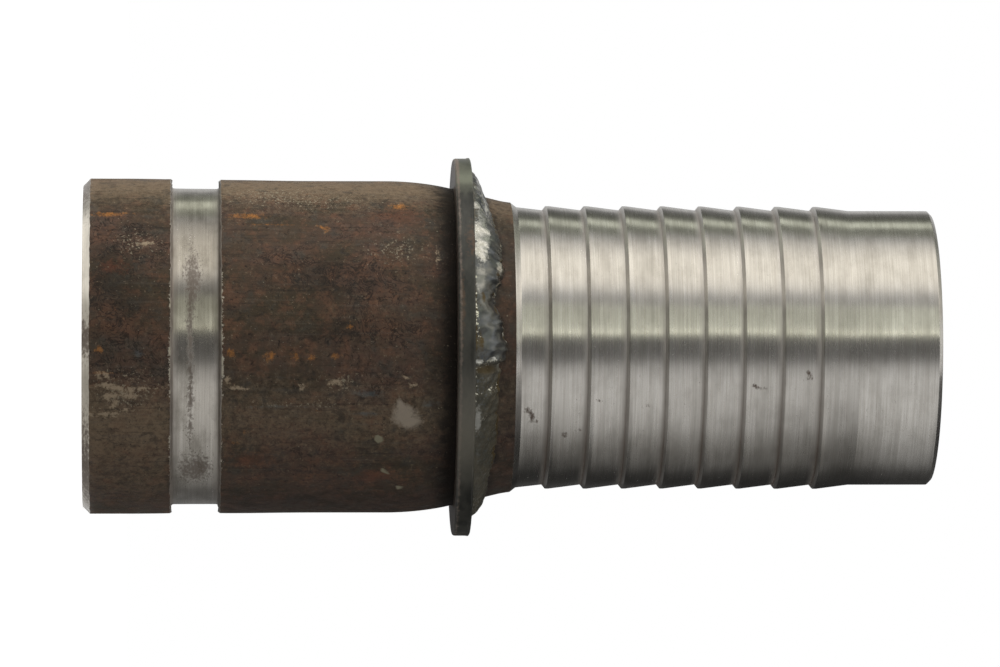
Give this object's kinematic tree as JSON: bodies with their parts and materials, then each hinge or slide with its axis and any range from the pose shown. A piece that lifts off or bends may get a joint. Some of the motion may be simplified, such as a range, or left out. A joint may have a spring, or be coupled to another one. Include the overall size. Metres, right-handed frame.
{
  "type": "hose barb tail",
  "caption": "Swaged steel pipe tail: cut-grooved end for a coupling, stop collar with a fillet weld, and a turned, barbed shank that a hose is clamped on.",
  "frame": {"origin": "centre of the grooved end's face, which it stands on", "axes": "+Z along the pipe's axis, from the grooved end to the hose end"},
  "size_m": [0.0686, 0.0686, 0.1535],
  "materials": {
    "pipe_steel": "mill scale and rust on the barrel and taper, turned bright in the groove, on the end bevel and on the hose shank",
    "collar_plate": "dark hot-rolled scale, punched edge",
    "weld_metal": "rippled weld bead, glassy grey with bright and brown patches"
  },
  "bodies": {
    "root": {"swaged_pipe": "pipe_steel", "stop_collar": "collar_plate", "fillet_weld": "weld_metal"}
  },
  "joints": []
}
